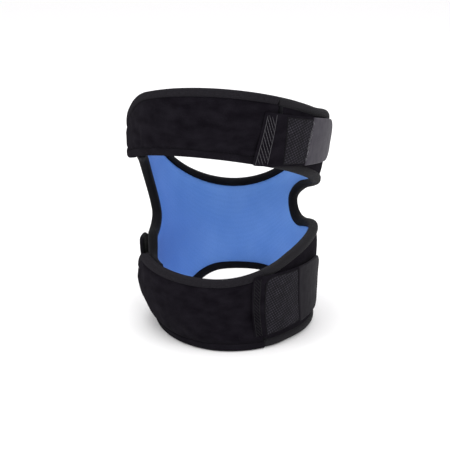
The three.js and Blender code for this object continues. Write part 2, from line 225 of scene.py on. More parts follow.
def notch_edges(angle, inset):
    """The low and high edges of the side notches, grown by inset; equal between the notches."""
    left = LEFT_NOTCH_DEPTH - turn_of(inset)
    right = RIGHT_NOTCH_DEPTH + turn_of(inset)
    depth = np.where(angle >= left, left, right)
    t = np.clip(np.abs(angle - depth) / NOTCH_CORNER, 0, 1)
    opening = np.where((angle > right) & (angle < left), 0, np.sqrt(1 - (1 - t) ** 2))
    on_left = inset_line(left_notch_low, -inset)(angle)
    low = np.where(angle >= left, on_left, inset_line(lower_top, -inset)(angle))
    high = inset_line(upper_bottom, inset)(angle)
    return lerp(WAIST_HEIGHT, low, opening), lerp(WAIST_HEIGHT, high, opening)


def panel_inner(angle):
    side = np.where(angle > LEFT_SIDE, -1, np.sin(np.radians(angle)))
    return PANEL_INNER + PANEL_RIGHT_SHIFT * side


def panel_faces(angle):
    """The panel's inner and outer faces. The right arms' tips come level with the straps,
    and the lower left arm thins towards its tip."""
    level = panel_inner(angle) + RIGHT_TIP_LIFT * smoothstep(54, 36, angle)
    thinning = LEFT_TIP_THINNING * smoothstep(284, 317, angle)
    return level + thinning, level + PANEL_THICKNESS


def rounded(distance, radius):
    """How far a round corner cuts in, at a distance from the end that it rounds off."""
    t = np.clip(distance / max(radius, 1e-6), 0, 1)
    return radius * (1 - np.sqrt(1 - (1 - t) ** 2))


# --- patches and closed fabric meshes ---

def crowded(length, edge, pitch, steps=5):
    """Places from 0 to length, evenly spaced but crowded over edge at both ends."""
    near = edge * (1 - np.cos(np.linspace(0, math.pi / 2, steps + 1)))
    middle = np.linspace(edge, length - edge, max(2, round((length - 2 * edge) / pitch)) + 1)
    return np.concatenate([near[:-1], middle, length - near[:-1][::-1]])


class Patch:
    """Part of the wrap: points (angle, z) and quads. Grids that meet share their points."""

    def __init__(self, *grids):
        places, quads, start = [], [], 0
        for grid in grids:
            angle, z = np.broadcast_arrays(*grid)
            ids = start + np.arange(angle.size).reshape(angle.shape)
            corners = ids[:-1, :-1], ids[1:, :-1], ids[1:, 1:], ids[:-1, 1:]
            quads.append(np.stack(corners, -1).reshape(-1, 4))
            places.append(np.stack([angle.ravel(), z.ravel()], -1))
            start += angle.size
        places = np.concatenate(places)
        _, first, same = np.unique(np.round(places, 3), axis=0, return_index=True, return_inverse=True)
        self.places = places[first]
        self.quads = same.reshape(-1)[np.concatenate(quads)]
        self.angle, self.z = self.places.T
        self.flat = np.stack([arc(self.angle), self.z], -1)
        self.rim = self._rim()
        self.depth = self._depth()

    def _rim(self):
        """The outline's edges, as pairs of points in their quads' direction."""
        edges = np.concatenate([self.quads[:, [i, (i + 1) % 4]] for i in range(4)])
        _, first, count = np.unique(np.sort(edges, 1), axis=0, return_index=True, return_counts=True)
        return edges[first[count == 1]]

    def _depth(self):
        """Each point's distance in from the outline, in millimetres."""
        ends = self.flat[self.rim]
        tree = kdtree.KDTree(4 * len(ends))
        for t in (0.125, 0.375, 0.625, 0.875):
            for i, (s, z) in enumerate(lerp(ends[:, 0], ends[:, 1], t)):
                tree.insert((s, z, 0), i)
        tree.balance()
        nearest = np.array([tree.find((s, z, 0))[1] for s, z in self.flat])
        start, run = ends[nearest, 0], ends[nearest, 1] - ends[nearest, 0]
        t = np.clip(((self.flat - start) * run).sum(1) / (run**2).sum(1), 0, 1)
        depth = np.linalg.norm(self.flat - start - run * t[:, None], axis=1)
        depth[np.unique(self.rim)] = 0
        return depth

    def area(self):
        """The flat cut's area in square metres."""
        a, b, c, d = (self.flat[self.quads[:, i]] for i in range(4))
        p, q = c - a, d - b
        return float(np.abs(p[:, 0] * q[:, 1] - p[:, 1] * q[:, 0]).sum() / 2) * MM * MM

    def size(self):
        """The flat cut's width and length in metres."""
        return tuple(float(x) * MM for x in np.ptp(self.flat, axis=0))


def add_object(name, data):
    thing = bpy.data.objects.new(name, data)
    bpy.context.scene.collection.objects.link(thing)
    return thing


def new_mesh(name, points, faces, cloth, materials, face_material=None):
    """A mesh object. cloth holds each point's place on its fabric, in millimetres."""
    mesh = bpy.data.meshes.new(name)
    mesh.from_pydata(points.tolist(), [], [list(map(int, f)) for f in faces])
    for item in materials:
        mesh.materials.append(item)
    if face_material is not None:
        mesh.polygons.foreach_set("material_index", np.asarray(face_material, np.int32))
    place = mesh.attributes.new("cloth", "FLOAT_VECTOR", "POINT")
    place.data.foreach_set("vector", np.asarray(cloth, np.float32).ravel())
    mesh.shade_smooth()
    shape = bmesh.new()
    shape.from_mesh(mesh)
    bmesh.ops.recalc_face_normals(shape, faces=shape.faces)
    shape.to_mesh(mesh)
    shape.free()
    return add_object(name, mesh)


INNER_SIDE = 40  # keeps the patterns of a slab's two faces apart
TAPE_RING = 22  # points round a tape
TAPE_END_SIZE = 0.92
THREAD_END_SIZE = 0.35


def slab(name, patch, inner, outer, edge, materials, relief=0, raised=0):
    """A closed piece between two offsets, its rim rounded over edge millimetres.

    Its outer face takes the relief and the first material, its inner face the last material.
    raised is stored for the material as the third part of the outer face's cloth places."""
    fullness = np.sqrt(1 - (1 - np.clip(patch.depth / edge, 0, 1)) ** 2)
    middle, half = (inner + outer) / 2, (outer - inner) / 2
    out = middle + half * fullness + relief * fullness
    into = middle - half * fullness
    count = len(patch.places)
    under = np.arange(count) + count
    on_rim = np.unique(patch.rim)
    under[on_rim] = on_rim
    points = np.concatenate([surface(patch.angle, patch.z, out), surface(patch.angle, patch.z, into)])
    faces = np.concatenate([patch.quads, under[patch.quads[:, ::-1]]])
    cloth = np.concatenate([
        np.column_stack([patch.flat, np.broadcast_to(third, count)]) for third in (raised, INNER_SIDE)
    ])
    used = np.unique(faces)
    renumber = np.zeros(2 * count, int)
    renumber[used] = np.arange(len(used))
    sides = np.repeat([0, len(materials) - 1], len(patch.quads))
    return new_mesh(name, points[used], renumber[faces], cloth[used], materials, sides)


def lengths_along(points):
    """The length of a run of points up to each of them."""
    return np.concatenate([[0], np.cumsum(np.linalg.norm(np.diff(points, axis=0), axis=1))])


def tube_faces(ids):
    """The faces of a tube whose rings of points are the rows of ids, closed at both ends."""
    beside = np.roll(ids, -1, axis=1)
    quads = np.stack([ids[:-1], ids[1:], beside[1:], beside[:-1]], -1).reshape(-1, 4)
    return [*quads.tolist(), ids[0].tolist(), ids[-1][::-1].tolist()]


def signed_power(x, power):
    return np.sign(x) * np.abs(x) ** power


def tape(name, us, edge_at, width, inner, outer, material, squareness=2.6, relief=None, painted_light=None):
    """A closed strip folded over an edge. edge_at(u, inset) gives the angles and heights.

    relief, if given, is an offset for each u, and the last argument gives how much painted light
    the tape takes at each angle and height."""
    first, last = lerp(us[0], us[1], 0.25), lerp(us[-1], us[-2], 0.25)
    us = np.concatenate([[us[0], first], us[1:-1], [last, us[-1]]])
    phi = np.linspace(0, 2 * math.pi, TAPE_RING, endpoint=False)
    across = 0.5 - 0.5 * signed_power(np.cos(phi), 2 / squareness)
    lift = signed_power(np.sin(phi), 2 / squareness)
    ends = np.ones(len(us))
    ends[[0, -1]] = TAPE_END_SIZE
    inset = width * (0.5 + (across[None, :] - 0.5) * ends[:, None])
    angle, z = edge_at(np.asarray(us)[:, None] + 0 * inset, inset)
    low, high = inner(angle), outer(angle)
    offset = (low + high) / 2 + (high - low) / 2 * lift[None, :] * ends[:, None]
    if relief is not None:
        offset = offset + relief(us)[:, None] * lift[None, :]
    points = surface(angle, z, offset)
    along = lengths_along(points.mean(1)) / MM
    around = phi / (2 * math.pi) * 2 * (width + PANEL_THICKNESS)
    # Painted light: each point's share of painted light, stored for the material.
    painted_light_share = painted_light(angle, z) if painted_light else 0
    cloth = np.stack(np.broadcast_arrays(along[:, None], around[None, :], painted_light_share), -1)
    faces = tube_faces(np.arange(angle.size).reshape(angle.shape))
    return new_mesh(name, points.reshape(-1, 3), faces, cloth.reshape(-1, 3), [material])


def threads(name, runs, radius, material, sides=6):
    """Thread as one mesh: a small closed tube along each run of points, in metres."""
    points, faces, cloth = [], [], []
    phi = np.linspace(0, 2 * math.pi, sides, endpoint=False)
    for run in runs:
        run = np.asarray(run, float)
        along = np.gradient(run, axis=0)
        along /= np.linalg.norm(along, axis=1, keepdims=True)
        out = run - np.array([0, CENTRE_Y * MM, 0])
        out[:, 2] = 0
        side = np.cross(along, out)
        side /= np.linalg.norm(side, axis=1, keepdims=True)
        up = np.cross(side, along)
        taper = np.ones(len(run))
        taper[[0, -1]] = THREAD_END_SIZE
        ring = side[:, None] * np.cos(phi)[None, :, None] + up[:, None] * np.sin(phi)[None, :, None]
        tube = run[:, None] + ring * (radius * MM * taper)[:, None, None]
        ids = sum(map(len, points)) + np.arange(tube.shape[0] * sides).reshape(-1, sides)
        faces += tube_faces(ids)
        points.append(tube.reshape(-1, 3))
        place = np.linspace(0, len(run), len(run))[:, None] + 0 * phi[None, :]
        cloth.append(np.stack([place, place * 0, place * 0], -1).reshape(-1, 3))
    return new_mesh(name, np.concatenate(points), faces, np.concatenate(cloth), [material])


def ripple(flat, scale, seed, stretch=1.0):
    """Smooth noise from -1 to 1 at each flat place, with features about scale millimetres wide."""
    return np.array([noise.noise(Vector((s / (scale * stretch), z / scale, seed))) for s, z in flat])


# --- materials ---

class Cloth:
    """A procedural material. Its patterns follow each mesh's cloth places, in millimetres."""

    def __init__(self, name, roughness, specular=0.1, sheen=0.0, sheen_roughness=0.5):
        self.material = bpy.data.materials.new(name)
        self.material.use_nodes = True
        self.tree = self.material.node_tree
        self.shader = self.tree.nodes["Principled BSDF"]
        self.shader.inputs["Roughness"].default_value = roughness
        self.shader.inputs["Specular IOR Level"].default_value = specular
        self.shader.inputs["Sheen Weight"].default_value = sheen
        self.shader.inputs["Sheen Roughness"].default_value = sheen_roughness
        self.place = self.add("Attribute", {}, attribute_name="cloth").outputs["Vector"]
        self.normal = None

    def add(self, kind, inputs, **settings):
        """A new node. Its inputs are values, or the outputs of other nodes."""
        node = self.tree.nodes.new("ShaderNode" + kind)
        for name, value in settings.items():
            setattr(node, name, value)
        for slot, value in inputs.items():
            if isinstance(value, bpy.types.NodeSocket):
                self.tree.links.new(value, node.inputs[slot])
            else:
                node.inputs[slot].default_value = value
        return node

    def link(self, source, target):
        self.tree.links.new(source, self.shader.inputs[target])

    def scaled(self, scale):
        return self.add("VectorMath", {0: self.place, 1: scale}, operation="MULTIPLY").outputs["Vector"]

    def third(self):
        """The third part of a cloth place, from 0 to 1: on the woven tape how raised it is there, on tapes
        and rolls how much painted light they take there.
        """
        return self.add("SeparateXYZ", {"Vector": self.place}).outputs["Z"]

    def noise(self, size, detail=2.0, stretch=1.0, roughness=0.5):
        """Soft noise about size millimetres wide, stretched along the fabric."""
        place = self.scaled((1 / (size * stretch), 1 / size, 1 / size))
        inputs = {"Scale": 1.0, "Detail": detail, "Roughness": roughness, "Vector": place}
        return self.add("TexNoise", inputs).outputs["Fac"]

    def cells(self, size):
        """The distance to the nearest of scattered points, about size millimetres apart."""
        place = self.scaled((1 / size, 1 / size, 1 / size))
        return self.add("TexVoronoi", {"Scale": 1.0, "Vector": place}).outputs["Distance"]

    def sine(self, pitch_along, pitch_across):
        """A sine wave that repeats at these spacings; a spacing of None means no change that way."""
        turns = [2 * math.pi / p if p else 0 for p in (pitch_along, pitch_across, None)]
        wave = self.add("VectorMath", {0: self.place, 1: turns}, operation="DOT_PRODUCT")
        return self.maths("SINE", wave.outputs["Value"])

    def share(self, wave):
        """A wave between -1 and 1, moved to between 0 and 1."""
        return self.maths("MULTIPLY_ADD", wave, 0.5, 0.5)

    def maths(self, operation, *values):
        return self.add("Math", dict(enumerate(values)), operation=operation).outputs["Value"]

    def ramp(self, value, *stops):
        """Colours at places from 0 to 1, as (place, (red, green, blue)) or (place, grey)."""
        node = self.add("ValToRGB", {"Fac": value})
        elements = node.color_ramp.elements
        while len(elements) < len(stops):
            elements.new(0.5)
        for element, (place, colour) in zip(elements, stops):
            element.position = place
            element.color = (*np.broadcast_to(colour, 3).tolist(), 1)
        return node.outputs["Color"]

    def blend(self, factor, a, b, how="MIX"):
        b = (*b, 1) if isinstance(b, tuple) else b
        inputs = {0: factor, 6: a, 7: b}
        return self.add("Mix", inputs, data_type="RGBA", blend_type=how).outputs[2]

    def toned(self, base, value, *stops):
        """The base colour, multiplied by a ramp of the value."""
        return self.blend(1.0, base, self.ramp(value, *stops), "MULTIPLY")

    def bump(self, height, depth, strength=1.0):
        """Relief depth millimetres deep. Bumps stack in the order they are made."""
        inputs = {"Strength": strength, "Distance": depth * MM, "Height": height}
        if self.normal:
            inputs["Normal"] = self.normal
        self.normal = self.add("Bump", inputs).outputs["Normal"]
        self.link(self.normal, "Normal")

    def colour(self, source):
        self.link(source, "Base Color")

    def rough(self, value, low, high):
        """Roughness that varies between low and high with a 0 to 1 value."""
        node = self.add("MapRange", {"Value": value, "To Min": low, "To Max": high})
        self.link(node.outputs["Result"], "Roughness")


def pile_fabric(name, dark, light, painted_top_light=None):
    """Black brushed loop fabric: hook tape grips it anywhere. Fuzzy, mottled, with a little lint.

    The last argument is a lighter colour, painted light laid where light falls on the fabric."""
    cloth = Cloth(name, 0.95, specular=0.0, sheen=0.022, sheen_roughness=0.5)
    cloth.shader.inputs["Sheen Tint"].default_value = (0.8, 0.78, 0.85, 1)
    mottle = cloth.noise(7, detail=3, stretch=1.8)
    base = cloth.ramp(mottle, (0.32, dark), (0.7, light))
    # Painted light: blends towards the lighter colour by the share of painted light.
    if painted_top_light:
        base = cloth.blend(cloth.third(), base, painted_top_light)
    fuzz = cloth.noise(0.42, detail=3, roughness=0.65)
    base = cloth.toned(base, fuzz, (0.3, 0.5), (0.72, 1.45))
    speck = cloth.ramp(cloth.cells(9), (0.0, 1), (0.018, 1), (0.026, 0))
    cloth.colour(cloth.blend(speck, base, (0.03, 0.03, 0.034)))
    cloth.rough(mottle, 0.88, 1.0)
    cloth.bump(cloth.cells(0.55), 0.16, 0.7)
    cloth.bump(fuzz, 0.22, 0.8)
    cloth.bump(cloth.noise(2.4, detail=2), 0.25, 0.5)
    return cloth.material


def binding_fabric():
    """Black knitted elastic tape with fine ribs across it, greyer where painted light is laid on it."""
    cloth = Cloth("black_binding", 0.85, specular=0.05, sheen=0.03, sheen_roughness=0.45)
    wear = cloth.noise(5, detail=3, stretch=2.5)
    base = cloth.ramp(wear, (0.3, (0.0040, 0.0040, 0.0052)), (0.75, (0.0075, 0.0075, 0.0095)))
    # Painted light: the tape is blended towards this lighter grey where its share of painted light is high.
    base = cloth.blend(cloth.third(), base, (0.0135, 0.0128, 0.0150))
    knit = cloth.maths("MULTIPLY", cloth.sine(0.85, None), cloth.sine(None, 0.7))
    cloth.colour(cloth.toned(base, cloth.share(knit), (0.0, 0.6), (1.0, 1.3)))
    cloth.rough(wear, 0.74, 0.92)
    cloth.bump(knit, 0.09, 0.8)
    cloth.bump(cloth.noise(0.5, detail=2), 0.08, 0.6)
    return cloth.material


def lining_fabric():
    """Plain black jersey on the inside of the straps."""
    cloth = Cloth("black_lining", 0.9, specular=0.06, sheen=0.04)
    shade = cloth.noise(9, detail=2)
    base = cloth.ramp(shade, (0.3, (0.0055, 0.0055, 0.0066)), (0.75, (0.0100, 0.0100, 0.0116)))
    knit = cloth.maths("MULTIPLY", cloth.sine(1.1, None), cloth.sine(None, 0.8))
    cloth.colour(cloth.toned(base, cloth.share(knit), (0.0, 0.55), (1.0, 1.3)))
    cloth.rough(shade, 0.82, 0.95)
    cloth.bump(knit, 0.12, 0.8)
    return cloth.material


def blue_mesh_fabric():
    """The cooling face: a fine blue open knit, its holes in diagonal rows, with painted shade that darkens
    it to the left.
    """
    cloth = Cloth("blue_mesh", 0.75, specular=0.16, sheen=0.12, sheen_roughness=0.4)
    cloth.shader.inputs["Sheen Tint"].default_value = (0.6, 0.75, 1.0, 1)
    dye = cloth.noise(34, detail=2)
    base = cloth.ramp(dye, (0.3, (0.128, 0.295, 0.705)), (0.72, (0.164, 0.342, 0.765)))
    # Painted shade: a long wave along the fabric darkens the blue towards the panel's left side, where shade
    # falls.
    side = cloth.share(cloth.sine(520, None))
    base = cloth.toned(base, side, (0.1, (0.60, 0.68, 0.86)), (0.55, 1.0))
    lattice = cloth.maths("MULTIPLY", cloth.sine(1.5, 2.1), cloth.sine(-1.5, 2.1))
    in_hole = (0.66, 0.70, 0.78)
    base = cloth.toned(base, cloth.share(lattice), (0.0, (1.09, 1.08, 1.05)), (0.62, 1), (0.95, in_hole))
    yarn = cloth.noise(0.5, detail=2, stretch=3)
    base = cloth.toned(base, yarn, (0.3, (0.93, 0.93, 0.95)), (0.7, (1.06, 1.05, 1.03)))
    cloth.colour(base)
    cloth.rough(yarn, 0.62, 0.82)
    cloth.bump(cloth.maths("MULTIPLY", lattice, -1.0), 0.14, 0.8)
    cloth.bump(yarn, 0.05, 0.5)
    return cloth.material


def nylon_fibre(cloth, base, dark, light, roughness):
    """Finishes a tape's material with its fibres."""
    fibre = cloth.noise(0.35, detail=2, stretch=4)
    cloth.colour(cloth.toned(base, fibre, dark, light))
    cloth.rough(fibre, *roughness)
    cloth.bump(fibre, 0.08, 0.7)
    return cloth.material


def hook_tape():
    """The hook tape's ground: plain woven black nylon."""
    cloth = Cloth("hook_tape", 0.7, specular=0.12)
    shade = cloth.noise(3.2, detail=3)
    base = cloth.ramp(shade, (0.3, (0.0065, 0.0062, 0.0075)), (0.75, (0.0130, 0.0126, 0.0146)))
    return nylon_fibre(cloth, base, (0.3, 0.6), (0.7, 1.5), (0.6, 0.8))


def woven_tape():
    """The face of the hook tape: grey-black floats over dark gaps, coloured by height, with a painted
    highlight on the floats and painted shade in the gaps.
    """
    cloth = Cloth("woven_tape", 0.65, specular=0.08)
    gap_painted_shade, rise, float_painted_highlight = (0.0025, 0.0023, 0.0032), (0.0060, 0.0054, 0.0076), (0.0290, 0.0265, 0.0350)
    # Painted light: the colour follows how raised the weave is, lightest on the float tops and darkest in
    # the gaps.
    base = cloth.ramp(cloth.third(), (0.05, gap_painted_shade), (0.35, rise), (0.8, float_painted_highlight))
    return nylon_fibre(cloth, base, (0.3, 0.7), (0.7, 1.35), (0.55, 0.75))


def grip_coating(name, specular, dark, light, faded):
    """Grey rubbery coating on a tab's tip: satin, faintly banded, scuffed in places."""
    cloth = Cloth(name, 0.6, specular=specular)
    tone = cloth.noise(9, detail=2, stretch=0.35)
    base = cloth.ramp(tone, (0.3, dark), (0.7, light))
    scuff = cloth.noise(2.2, detail=5, stretch=2.5, roughness=0.7)
    marks = cloth.ramp(scuff, (0.60, 0), (0.74, 0.35))
    cloth.colour(cloth.blend(marks, base, faded))
    cloth.rough(scuff, 0.48, 0.66)
    cloth.bump(cloth.noise(0.3, detail=2), 0.03, 0.6)
    cloth.bump(tone, 0.3, 0.25)
    return cloth.material


def thread_material(name, colour):
    """Twisted polyester sewing thread."""
    cloth = Cloth(name, 0.7, specular=0.1, sheen=0.03)
    twist = cloth.sine(0.9, 0.6)
    dark = tuple(0.6 * c for c in colour)
    cloth.colour(cloth.ramp(cloth.share(twist), (0, dark), (1, colour)))
    cloth.bump(twist, 0.05, 0.7)
    return cloth.material


def foam_material():
    """Open-cell insulation foam inside the laminate."""
    cloth = Cloth("dark_foam", 0.95, specular=0.05)
    pores = cloth.cells(0.9)
    cloth.colour(cloth.ramp(pores, (0.1, (0.018, 0.018, 0.021)), (0.6, (0.045, 0.046, 0.051))))
    cloth.bump(pores, 0.3, 0.8)
    return cloth.material


def gel_material():
    """Cold gel in a clear film: a smooth, glossy blue."""
    cloth = Cloth("blue_gel", 0.25, specular=0.5)
    swirl = cloth.noise(14, detail=3)
    cloth.colour(cloth.ramp(swirl, (0.3, (0.10, 0.30, 0.62)), (0.7, (0.20, 0.46, 0.78))))
    cloth.rough(swirl, 0.18, 0.32)
    cloth.bump(swirl, 0.6, 0.3)
    return cloth.material


PILE_TONES = ((0.0046, 0.0038, 0.0056), (0.0094, 0.0082, 0.0112))
PILE = pile_fabric("black_pile", *PILE_TONES)
# The roll takes painted light: it is painted lighter along the strap's top, where light from above falls.
ROLL = pile_fabric("black_roll", *PILE_TONES, painted_top_light=(0.0140, 0.0130, 0.0156))
BINDING = binding_fabric()
LINING = lining_fabric()
BLUE = blue_mesh_fabric()
HOOK_TAPE = hook_tape()
WOVEN_TAPE = woven_tape()
# Painted light: both grips are one coating; the upper one is painted lighter and the lower one darker, as
# lit and shaded copies.
GRIP_LIT_AND_SHADED_TONES = {  # specular level, then the dark, light and scuffed colours
    "upper": (0.12, (0.034, 0.031, 0.039), (0.048, 0.044, 0.054), (0.085, 0.080, 0.092)),
    "lower": (0.04, (0.0080, 0.0070, 0.0095), (0.0120, 0.0108, 0.0138), (0.030, 0.028, 0.033)),
}
GRIPS = {name: grip_coating(f"{name}_grip", *tones) for name, tones in GRIP_LIT_AND_SHADED_TONES.items()}
GREY_THREAD = thread_material("grey_thread", (0.062, 0.060, 0.067))
BLACK_THREAD = thread_material("black_thread", (0.0085, 0.0082, 0.0098))
FRAY = thread_material("frayed_fibre", (0.20, 0.195, 0.215))
FOAM = foam_material()
GEL = gel_material()


# --- panel ---

PANEL_PITCH = 1.8
CORNER_COLUMNS = 14
SHEET_THICKNESS = 1.0
TUCK = 2.0  # how far the laminate's fabrics run in under the bindings
PANEL_HOLD = 1.3
PANEL_CROWN = 0.7
PANEL_ROWS = 34


def evenly(start, end, pitch):
    """Angles from start to end, about pitch millimetres apart."""
    return np.linspace(start, end, max(2, round(abs(arc(end - start)) / pitch) + 1))


def panel_columns(start, end, inset):
    """Angles of a band's columns, crowded where the notches are deepest."""
    left = LEFT_NOTCH_DEPTH - turn_of(inset)
    right = RIGHT_NOTCH_DEPTH + turn_of(inset)
    corner = NOTCH_CORNER * (1 - np.cos(np.linspace(0, math.pi / 2, CORNER_COLUMNS)))
    return np.concatenate([
        evenly(start, right - NOTCH_CORNER, PANEL_PITCH)[:-1],
        (right - corner)[::-1][:-1],
        evenly(right, left, PANEL_PITCH)[:-1],
        (left + corner)[:-1],
        evenly(left + NOTCH_CORNER, end, PANEL_PITCH),
    ])[:, None]


def panel_patch(inset):
    """The X-shaped cut: a band above the notches and one below, joined between them."""
    low_columns = panel_columns(LOWER_ARM_START, LOWER_LEFT_ARM_END, inset)
    high_columns = panel_columns(UPPER_ARM_START, UPPER_LEFT_ARM_END, inset)
    rows = np.linspace(0, 1, PANEL_ROWS)[None, :]
    low_edge = inset_line(panel_bottom, inset)(low_columns)
    high_edge = inset_line(panel_top, -inset)(high_columns)
    low = lerp(low_edge, notch_edges(low_columns, inset)[0], rows)
    high = lerp(notch_edges(high_columns, inset)[1], high_edge, rows)
    return Patch((low_columns, low), (high_columns, high))


def build_panel():
    """The lining and the cover, held down at the bindings and slightly crowned between them."""
    cut = panel_patch(BINDING_WIDTH - TUCK)
    held = PANEL_HOLD * np.exp(-np.clip(cut.depth - TUCK, 0, None) / 3.5)
    crown = PANEL_CROWN * (1 - np.exp(-cut.depth / 16))
    sway = 0.22 * ripple(cut.flat, 26, 3.1) * smoothstep(2, 16, cut.depth)
    inner, outer = panel_faces(cut.angle)
    lining_face = inner + held - crown + sway
    lining = slab("blue_mesh_lining", cut, lining_face, lining_face + SHEET_THICKNESS, 0.8, [BLUE])
    cover_face = outer - held + 0.5 * crown + sway
    cover = slab("panel_pile_cover", cut, cover_face - SHEET_THICKNESS, cover_face, 0.8, [PILE])
    for piece, node, slot in (
        (lining, "panel_mesh_lining", "blue_mesh_fabric"),
        (cover, "panel_outer_cover", "black_pile_fabric"),
    ):
        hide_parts(node)
        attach(piece, "panel")
        cut.size()
        cut.area()


# --- bindings ---

STITCH_PITCH = 2.7
STITCH_LENGTH = 1.9
STITCH_RADIUS = 0.16
STITCH_DIP = np.array([0.35, 0.02, -0.08, 0.02, 0.35])[:, None]


def line_edge(line, side):
    return lambda angle, inset: (angle, inset_line(line, side * inset)(angle))


def notch_edge(depth, side, upper_end, lower_end):
    """Around a notch: u runs from one arm's end, at -1, through the deepest point to the other."""
    def edge_at(u, inset):
        deepest = depth - side * turn_of(inset)
        along = 1 - np.cos(math.pi / 2 * np.abs(u))
        angle = lerp(deepest, np.where(u < 0, lower_end, upper_end), along)
        low, high = notch_edges(angle, inset)
        return angle, np.where(u < 0, low, high)
    return edge_at


def stitch_row(us, edge_at, inset, offset):
    """Running stitches along an edge: short threads that dip into the fabric at both ends."""
    fine = np.linspace(us[0], us[-1], 1200)
    angle, z = edge_at(fine, np.full(fine.shape, float(inset)))
    line = surface(angle, z, offset(angle))
    down = surface(angle, z, offset(angle) - 1) - line
    along = lengths_along(line) / MM
    runs = []
    for start in np.arange(1.5, along[-1] - STITCH_LENGTH - 1, STITCH_PITCH):
        places = start + STITCH_LENGTH * np.linspace(0, 1, 5)
        at, deep = (
            np.stack([np.interp(places, along, path[:, k]) for k in range(3)], -1) for path in (line, down)
        )
        runs.append(at + deep * STITCH_DIP)
    return runs


def outline_edge(flat):
    """An edge through flat points, moved by inset to the left of its run, and its length."""
    flat = np.asarray(flat, float)
    along = lengths_along(flat)
    run = np.gradient(flat, along, axis=0)
    run /= np.linalg.norm(run, axis=1, keepdims=True)

    def edge_at(u, inset):
        s = np.interp(u, along, flat[:, 0]) - inset * np.interp(u, along, run[:, 1])
        z = np.interp(u, along, flat[:, 1]) + inset * np.interp(u, along, run[:, 0])
        return turn_of(s), z
    return edge_at, along[-1]


ARM_TIPS = {  # angle, low edge, high edge, and which way the arm lies from its tip
    "upper_right": (UPPER_ARM_START, upper_bottom, panel_top, 1),
    "lower_right": (LOWER_ARM_START, panel_bottom, lower_top, 1),
    "upper_left": (UPPER_LEFT_ARM_END, upper_bottom, panel_top, -1),
    "lower_left": (LOWER_LEFT_ARM_END, panel_bottom, left_notch_low, -1),
}


TIP_WIDTH = 3.4
TIP_SQUARENESS = 3.6
TIP_MARGIN = 1.5  # how far a tip's tape stops short of the arm's edges


def build_bindings():
    """The tapes folded over the panel's edges, their two rows of stitches, and the arms' tips."""
    def inner(angle):
        return panel_faces(angle)[0] - 0.25

    def outer(angle):
        return panel_faces(angle)[1] + 0.1

    # Painted light: the bindings are painted lighter on the arms near the front and stay darker round the
    # back arch, where shade falls.
    def painted_light(angle, z):
        return smoothstep(110, 60, angle)

    def tip_outer(angle):
        return outer(angle) - 0.5

    bindings = {
        "top": (evenly(UPPER_LEFT_ARM_END, UPPER_ARM_START, 1.6), line_edge(panel_top, -1)),
        "bottom": (evenly(LOWER_ARM_START, LOWER_LEFT_ARM_END, 1.6), line_edge(panel_bottom, 1)),
        "left_notch": (
            np.linspace(-1, 1, 110),
            notch_edge(LEFT_NOTCH_DEPTH, 1, UPPER_LEFT_ARM_END, LOWER_LEFT_ARM_END),
        ),
        "right_notch": (
            np.linspace(-1, 1, 230),
            notch_edge(RIGHT_NOTCH_DEPTH, -1, UPPER_ARM_START, LOWER_ARM_START),
        ),
    }
    for name, (us, edge_at) in bindings.items():
        binding = tape(f"{name}_binding", us, edge_at, BINDING_WIDTH, inner, outer, BINDING, painted_light=painted_light)
        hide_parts(f"panel_{name}_binding")
        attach(binding, "panel")
        inset = 0.74 * BINDING_WIDTH
        runs = stitch_row(us, edge_at, inset, lambda angle: inner(angle) + 0.45)
        runs += stitch_row(us, edge_at, inset, lambda angle: outer(angle) - 0.45)
        stitches = threads(f"{name}_binding_stitches", runs, STITCH_RADIUS, BLACK_THREAD)
        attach(stitches, "panel")
    for name, (angle, low, high, towards) in ARM_TIPS.items():
        ends = np.array([high(angle) - TIP_MARGIN, low(angle) + TIP_MARGIN])[::towards]
        edge_at, length = outline_edge([(arc(angle), z) for z in np.linspace(*ends, 20)])
        us = np.linspace(0, length, 24)
        tip = tape(
            f"{name}_arm_tip_binding", us, edge_at, TIP_WIDTH, inner, tip_outer, BINDING, TIP_SQUARENESS
        )
        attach(tip, "panel")


# --- straps ---

STRAPS = {  # the rear end's corners are (length, height), below and above
    "upper": {
        "top": upper_top, "bottom": upper_strap_bottom, "end": (34.6, 35.1), "seed": 11.0,
        "corners": ((12, 16), (12, 12)),
    },
    "lower": {
        "top": lower_strap_top, "bottom": lower_bottom, "end": (30.1, 30.1), "seed": 47.0,
        "corners": ((9, 9), (8, 8)),
    },
}
PAD_EDGE = 4.8
SQUARE_END = 6.0  # how much sharper the strap's front end is than its other edges
PAD_UNDER_RIM = 1.6
PAD_PITCH = 2.3
SWELL_OUT = 1.5
SWELL_IN = 0.25
CLOTH_FRAMES = 20
CLOTH_SETTINGS = {
    "quality": 6,
    "mass": 0.2,
    "tension_stiffness": 12,
    "compression_stiffness": 12,
    "shear_stiffness": 6,
    "bending_stiffness": 0.4,
    "use_pressure": True,
    "uniform_pressure_force": 4,
    "shrink_min": -0.035,
}
ROLL_SQUARENESS = 4


def strap_share(strap, angle, z):
    """How far up a strap a height is, from 0 at its bottom edge to 1 at its top."""
    return (z - strap["bottom"](angle)) / (strap["top"](angle) - strap["bottom"](angle))


